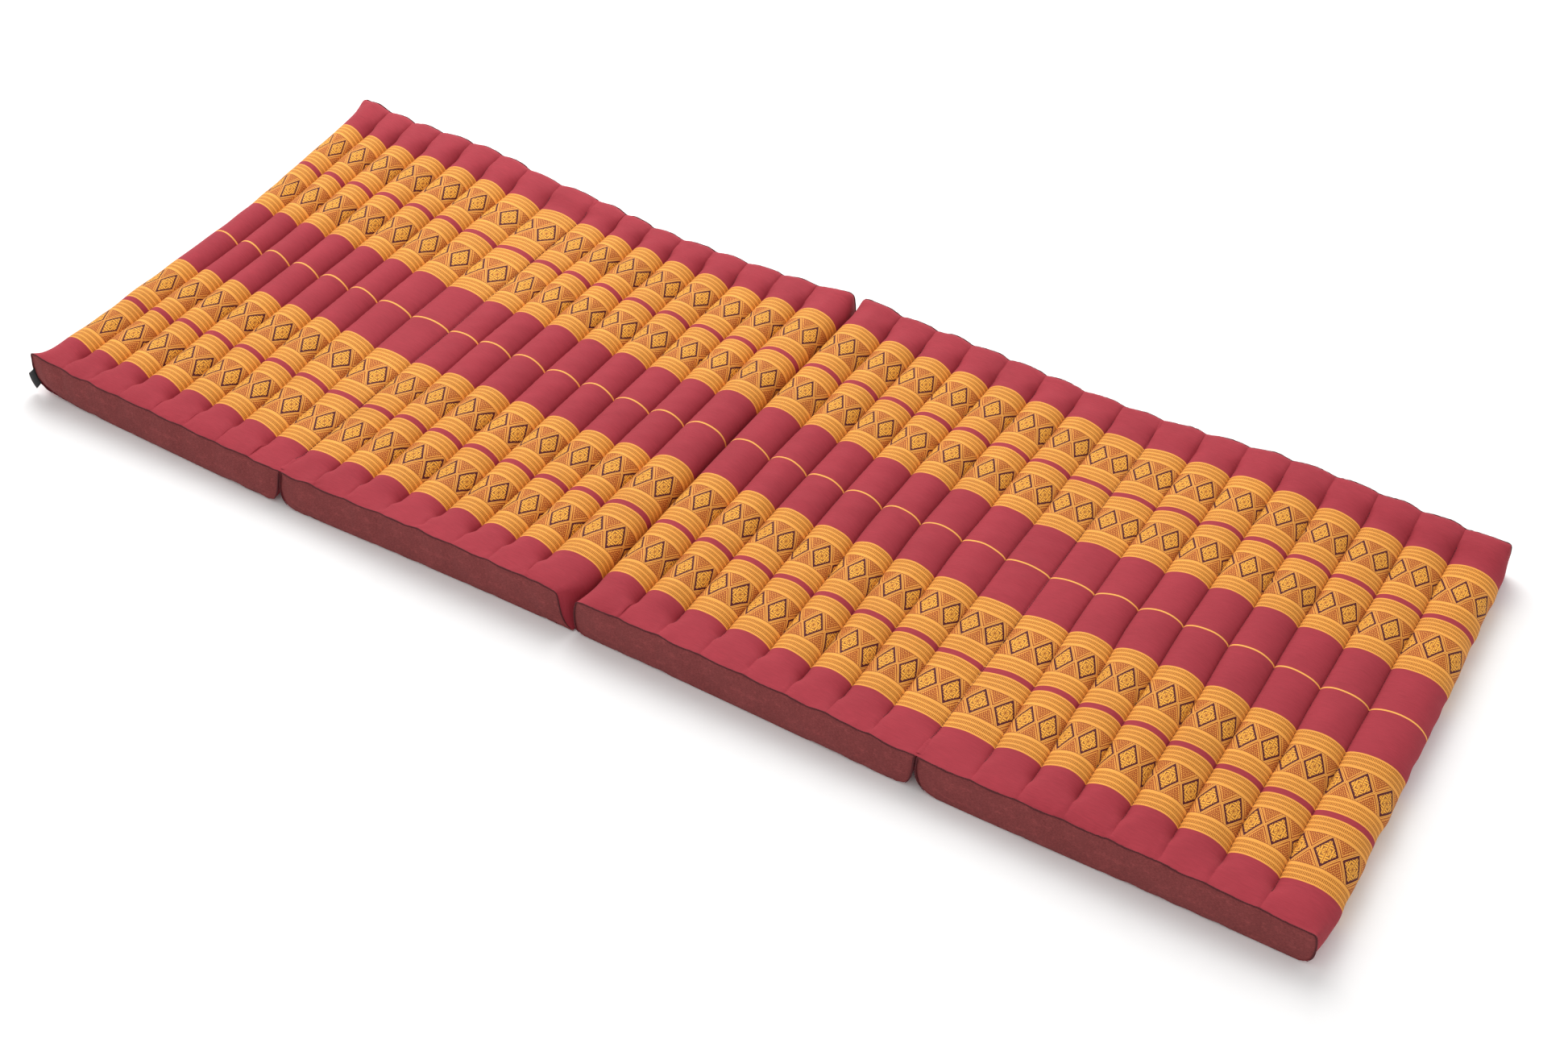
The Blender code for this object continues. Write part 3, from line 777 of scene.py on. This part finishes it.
def woven_tag():
    """Black woven ribbon, blank."""
    g = Graph("woven_tag")
    u, v = g.cloth()
    ribs = (v * 9.0).sin() * 0.5 + 0.5
    speck = g.noise(u * 3.0, v * 3.0)
    colour = g.mix(ribs * speck, (0.006, 0.006, 0.007), (0.030, 0.031, 0.034))
    return g.finish(colour, 0.45 + speck * 0.2, ribs, bump=0.4, depth=0.0002, sheen=0.1)


TOP = patterned_cotton()
BASE = plain_cotton("base_cotton", (0.400, 0.036, 0.052), (0.260, 0.020, 0.032))
BOXING = plain_cotton("boxing_cotton", (0.345, 0.078, 0.075), (0.105, 0.018, 0.021), pitch=1.1)
WELT = welt_cotton()
# The channel thread is coloured dark: partly the stitches' own colour, partly painted shade of the
# stitched valleys.
THREAD_WITH_SHADE = thread("channel_thread", (0.130, 0.016, 0.024), (0.050, 0.006, 0.010))
TAG = woven_tag()

# --- the panels --------------------------------------------------------------------------------


def side_profile(panel, side, end):
    """The end's seam along the boxing, as the run level with the top seam and the run down."""
    y = np.array([side * HALF])
    if panel.rounded[end]:
        level = 10
        line = panel.fall(end, y, level, 28)[0]
        return line[:level], line[level - 1:]
    line = panel.v_face(end, y, 22)[0][UNDERLAP:]
    return line[:1], line


def edge_top(panel, side):
    """The top seam of one long side, left corner to right corner."""
    y = np.array([side * HALF])
    k, t = panel.columns(18)
    line = panel.top(k[None], t[None], y[:, None])[0]
    left, _ = side_profile(panel, side, 0)
    right, _ = side_profile(panel, side, 1)
    if panel.rounded[0]:
        line = np.concatenate([left[:0:-1], line])
    else:
        line[0, 0] = left[0, 0]
    if panel.rounded[1]:
        line = np.concatenate([line, right[1:]])
    else:
        line[-1, 0] = right[0, 0]
    return line


def build_boxing(panel, side):
    """The strip along one long side, swelling a little between its seams."""
    top = resample(edge_top(panel, side), 130)
    ends = [side_profile(panel, side, end)[1] for end in (0, 1)]
    h = np.linspace(0, 1, 13)[:, None]
    u = np.linspace(0, 1, len(top))[None, :]
    low = curl(top[:, 0], top[:, 1]) + 0.0012
    z = low + (top[:, 2] - low) * h
    shift = 0.0
    for line, weight in zip(ends, ((1 - u) ** 6, u ** 6)):
        share = (line[:, 2] - line[-1, 2]) / (line[0, 2] - line[-1, 2])
        offset = np.interp(h[:, 0], share[::-1], (line[:, 0] - line[0, 0])[::-1])
        shift = shift + offset[:, None] * weight
    x = top[:, 0] + shift
    swell = 0.0030 * np.sin(math.pi * h) ** 0.7 * (1 + 0.35 * lumps(x, z, 41 + panel.n, 0.12))
    swell = swell * smooth(u / 0.06) * smooth((1 - u) / 0.06)
    crush = 0.0005 * lumps(x * 1.6 + z * 0.7, z * 0.4, 47 + panel.n, 0.02) * np.sin(math.pi * h)
    out = np.abs(top[:, 1]) * h + (HALF - 0.0008) * (1 - h) + swell + crush
    points = np.stack([x, side * out + foot(x, side * HALF + 0 * x, z - low), z], axis=-1)
    obj = grid(f"panel_{panel.n}_boxing_{'near' if side < 0 else 'far'}_cloth", points, BOXING,
               np.repeat(lengths(top)[None], len(h), 0), np.repeat(h * BOXING_HEIGHT, len(top), 1),
               flip=side > 0)
    return obj, float(lengths(top)[-1])


def build_welt(panel, side):
    """The folded welt round a boxing strip's top and ends."""
    top = edge_top(panel, side)
    left, right = (side_profile(panel, side, end)[1] for end in (0, 1))
    path = np.concatenate([left[:0:-1], top, right[1:]])
    path = path[path[:, 2] > WELT_FOOT]
    path = resample(path, int(lengths(path)[-1] / WELT_PITCH))
    smoothed = path.copy()
    smoothed[1:-1] = (path[:-2] + 2 * path[1:-1] + path[2:]) / 4
    outward = smoothed - smoothed.mean(axis=0)
    outward[:, 1] = 0
    outward[:, 0] = np.sign(outward[:, 0]) * np.clip(np.abs(outward[:, 0]) - 0.2, 0, 0.03)
    outward /= np.linalg.norm(outward, axis=1)[:, None]
    smoothed += outward * 0.0004
    smoothed[:, 1] += side * 0.0007
    smoothed[:, 2] += 0.0003 * lumps(smoothed[:, 0], smoothed[:, 2], 51 + panel.n, 0.015)
    if not panel.rounded[0]:
        smoothed[:, 0] = np.maximum(smoothed[:, 0], panel.start + 0.0017)
    if not panel.rounded[1]:
        smoothed[:, 0] = np.minimum(smoothed[:, 0], panel.end - 0.0017)
    smoothed[:, 2] = np.maximum(smoothed[:, 2], 0.0022)
    name = f"panel_{panel.n}_welt_{'near' if side < 0 else 'far'}_fold"
    return tube(name, smoothed, (0, 1, 0), WELT_RADII, WELT, uneven=0.15, seed=panel.n)


def base_outline(panel, y):
    """X of the base cloth's left and right edges at each y."""
    out = []
    for end in (0, 1):
        if panel.rounded[end]:
            out.append(panel.fall(end, y)[:, -1, 0])
        else:
            out.append(panel.v_face(end, y, 22)[:, -1, 0])
    return out


def build_base(panel, y):
    """The base cloth: flat on the floor, drawn up in shallow grooves at the channel lines."""
    left, right = base_outline(panel, y)
    inner = []
    for k in range(ROLLS):
        a, b = panel.lines[k], panel.lines[k + 1]
        inner += list(a + (b - a) * (1 - np.cos(np.linspace(0, math.pi, 11)[1:])) / 2)
    fraction = (np.array([panel.start] + inner) - panel.start) / (panel.end - panel.start)
    x = left[:, None] + (right - left)[:, None] * fraction
    nearest = np.min(np.abs(x[..., None] - panel.lines[1:-1]), axis=-1)
    inset = (HALF - np.abs(y))[:, None]
    held = smooth((inset - 0.02) / 0.05)
    lift = GROOVE * np.exp(-(nearest / 0.0045)) * held
    flat = BASE_REST + 0.0010 * np.exp(-inset / 0.006)
    away = np.minimum(x - left[:, None], right[:, None] - x)
    flat = flat + (V_END - BASE_REST) * np.exp(-away / 0.004)
    z = np.minimum(flat, V_END) + lift + curl(x, y[:, None] + 0 * x)
    yy = np.repeat(y[:, None] * (HALF - 0.0006) / HALF, x.shape[1], 1)
    points = np.stack([x, yy + foot(x, yy, 0.0), z], -1)
    obj = grid(f"panel_{panel.n}_base_cloth", points, BASE, x, yy, flip=True)
    sewn_y = y[np.abs(y) < HALF - 0.05]
    lines = [np.stack([np.full(len(sewn_y), line), sewn_y,
                       BASE_REST + GROOVE + curl(line, sewn_y) - 0.0003], -1)
             for line in panel.lines[1:-1]]
    sewn = stitches(f"panel_{panel.n}_base_stitches", lines, BASE_STITCH)
    return obj, sewn, float((right - left).mean())


def bend(obj, left):
    """Bakes a piece's transform into its mesh; it finds the top fold between two panels from the left
    one's number but does not bend the piece.
    """
    x = JOINT_X[left - 1]
    f"panel_{left + 1}"
    x - FOLD_REACH
    x + FOLD_REACH
    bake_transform(obj)


def build_panel(n):
    """One panel's cloths, welts and stitches, and where its top cloth's pattern ends."""
    panel = Panel(n)
    y = rows_across()
    points, roll = panel.cover(y)
    middle = len(y) // 2
    s = lengths(points[middle][:, [0, 2]])
    u = np.repeat((s + 0.111 * n)[None], len(y), 0)
    v = np.repeat(y[:, None], points.shape[1], 1)
    jumps = np.maximum(roll[:-1], roll[1:]) * TUCK
    top = grid(f"panel_{n}_top_cloth", points, TOP, u, v, jumps, sharp=65)
    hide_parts(f"panel_{n}_top_cover", *[f"panel_{n}_kapok_roll_{k + 1}" for k in range(ROLLS)])

    body = f"panel_{n}"
    for end, kind in enumerate(panel.kinds):
        if kind == TOP_FOLD:
            face = panel.v_face(end, rows_across(0.012), 16)
            side = "left" if end == 0 else "right"
            cloth = grid(f"panel_{n}_{side}_end_cloth", face, BASE, face[..., 1], face[..., 2],
                         flip=end == 0, sharp=65)
            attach(cloth, body)

    sewn_y = y[np.abs(y) < HALF - 0.038]
    lines = [panel.top(k, 0.0, sewn_y) + (0, 0, 0.0002) for k in range(1, ROLLS)]
    sewn = stitches(f"panel_{n}_channel_stitches", lines, CHANNEL_STITCH)
    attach(sewn, body)

    base, base_thread, base_length = build_base(panel, rows_across(0.011))
    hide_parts(f"panel_{n}_base_cover")
    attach(base, body)
    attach(base_thread, body)

    for side, word in ((-1, "near"), (1, "far")):
        strip, long = build_boxing(panel, side)
        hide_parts(f"panel_{n}_boxing_{word}")
        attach(strip, body)
        welt = build_welt(panel, side)
        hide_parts(f"panel_{n}_welt_{word}")
        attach(welt, body)

    bend(top, n if panel.kinds[1] == TOP_FOLD else n - 1)
    return panel, float(u[0, -1] + TUCK * (ROLLS - 1))


made = {n: build_panel(n) for n in PANELS}

# --- the folds ---------------------------------------------------------------------------------

FOLD_INSET = 0.003                  # the fold seams stop this far from the long edges


def build_top_fold(left):
    """The rolled, stitched seam in the valley of the top fold to the right of a panel."""
    panel, pattern_end = made[left]
    y = rows_across()
    y = y[np.abs(y) < HALF - FOLD_INSET]
    line = panel.top(ROLLS - 1, 1.0, y)
    ridge = np.array([(-0.0053, 0.0012), (-0.0036, 0.0010), (-0.0022, 0.0016), (-0.0011, 0.0014),
                      (0.0, 0.0019),
                      (0.0011, 0.0014), (0.0022, 0.0016), (0.0036, 0.0010), (0.0053, 0.0012)])
    points = line[:, None, :] + np.stack([ridge[:, 0], 0 * ridge[:, 0], ridge[:, 1]], -1)[None]
    points[..., 2] -= 0.0007
    u = pattern_end + lengths(ridge)
    strip = grid(f"fold_strip_{left}", points, TOP, np.repeat(u[None], len(y), 0),
                 np.repeat(y[:, None], len(ridge), 1))
    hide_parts(f"fold_seam_{left}")
    crown = points[8:-8, len(ridge) // 2] + (0, 0, 0.0003)
    sewn = stitches(f"fold_stitches_{left}", [crown], CHANNEL_STITCH)
    for obj in (strip, sewn):
        bend(obj, left)


build_top_fold(1)
build_top_fold(3)


def build_base_fold():
    """The strip of base cloth that joins the two middle panels."""
    y = rows_across(0.011)
    y = y[np.abs(y) < HALF - FOLD_INSET]
    reach = 0.0052
    x = np.linspace(-reach, reach, 13)
    z = 0.0018 - 0.0012 * np.exp(-(x / 0.0016) ** 2)
    points = np.stack([np.repeat(H2 + x[None], len(y), 0), np.repeat(y[:, None], len(x), 1),
                       np.repeat(z[None], len(y), 0)], -1)
    strip = grid("fold_strip_2", points, BASE, points[..., 0], points[..., 1], flip=True)
    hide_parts("fold_seam_2")
    H2 - reach
    H2 + reach
    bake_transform(strip)


build_base_fold()

# --- the tag -----------------------------------------------------------------------------------

TAG_LOW = 0.0185                    # height of the ribbon's lower edge


def build_side_tag():
    """A blank ribbon folded into a loop, caught in the open end's corner seam and drooping."""
    panel = made[1][0]
    _, seam = side_profile(panel, -1, 0)
    width, length = 0.024, 0.030
    heights = np.linspace(TAG_LOW, TAG_LOW + width, 13)
    x = np.interp(heights, seam[::-1, 2], seam[::-1, 0])
    root = np.stack([x + 0.002, np.full(len(x), -HALF - 0.0012), heights], -1)
    reach = np.array([-0.0095, -0.0035, -0.0105])
    loop = []
    for step in np.linspace(0, 1, 9):
        bow = 0.0012 * math.sin(math.pi * step)
        loop.append(root + reach * step + np.array([0.3, -0.6, 0.0]) * bow + np.array([0, -0.0005, 0]))
    tip = loop[-1] + np.array([-0.0006, 0.0004, -0.0005])
    back = [row + np.array([0.0002, 0.0012, 0.0]) for row in loop[::-1]]
    points = np.stack(loop + [tip] + back)
    s = np.repeat(np.linspace(0, length, len(points))[:, None], len(x), 1)
    v = np.repeat(heights[None], len(points), 0)
    tag = grid("side_tag_loop", points, TAG, s, v, flip=True)
    thick = tag.modifiers.new("Ribbon", "SOLIDIFY")
    thick.thickness, thick.offset = 0.0004, 0.0
    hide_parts("side_tag")
    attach(tag, "panel_1")


build_side_tag()

# --- camera, floor and light -------------------------------------------------------------------

CAMERA_AT, SENSOR, LENS = (1.2155, -2.1948, 2.1422), 36.0, 52.33
CAMERA_RIGHT, CAMERA_BACK = Vector((0.86567, 0.49851, 0.04594)), Vector((0.34663, -0.66307, 0.66346))

camera = bpy.data.objects.new("camera", bpy.data.cameras.new("camera"))
bpy.context.scene.collection.objects.link(camera)
camera.data.sensor_width, camera.data.lens = SENSOR, LENS
camera.data.clip_end = 50.0
turn = Matrix((CAMERA_RIGHT, CAMERA_BACK.cross(CAMERA_RIGHT), CAMERA_BACK)).transposed()
camera.matrix_world = Matrix.Translation(CAMERA_AT) @ turn.to_4x4()
bpy.context.scene.camera = camera

floor_mesh = bpy.data.meshes.new("floor")
floor_mesh.from_pydata([(-9, -9, 0), (9, -9, 0), (9, 9, 0), (-9, 9, 0)], [], [(0, 1, 2, 3)])
floor = bpy.data.objects.new("floor", floor_mesh)
bpy.context.scene.collection.objects.link(floor)
g = Graph("pale_floor")
at = g.node("ShaderNodeTexCoord")
grain = g.node("ShaderNodeTexNoise")
g.tree.links.new(at.outputs["Object"], grain.inputs["Vector"])
grain.inputs["Scale"].default_value = 40.0
speck = Value(g, grain.outputs[0])
floor_mesh.materials.append(g.finish(g.mix(speck, (0.93, 0.93, 0.93), (0.95, 0.95, 0.95)), 0.9, speck,
                                     bump=0.05, sheen=0.0))

world = bpy.data.worlds.new("studio")
bpy.context.scene.world = world
world.use_nodes = True
world.node_tree.nodes["Background"].inputs[0].default_value = (1.0, 0.99, 0.98, 1.0)
world.node_tree.nodes["Background"].inputs[1].default_value = 0.70


def softbox(name, location, size, power):
    """A square lamp that faces the origin."""
    lamp = bpy.data.lights.new(name, "AREA")
    lamp.shape, lamp.size, lamp.energy = "SQUARE", size, power
    obj = bpy.data.objects.new(name, lamp)
    obj.location = location
    obj.rotation_euler = (-Vector(location)).to_track_quat("-Z", "Y").to_euler()
    bpy.context.scene.collection.objects.link(obj)


softbox("back_key", (-2.1, 2.5, 3.2), 4.2, 230.0)
softbox("front_fill", (1.5, -3.5, 3.2), 3.0, 18.0)
bpy.context.scene.view_settings.view_transform = "Standard"
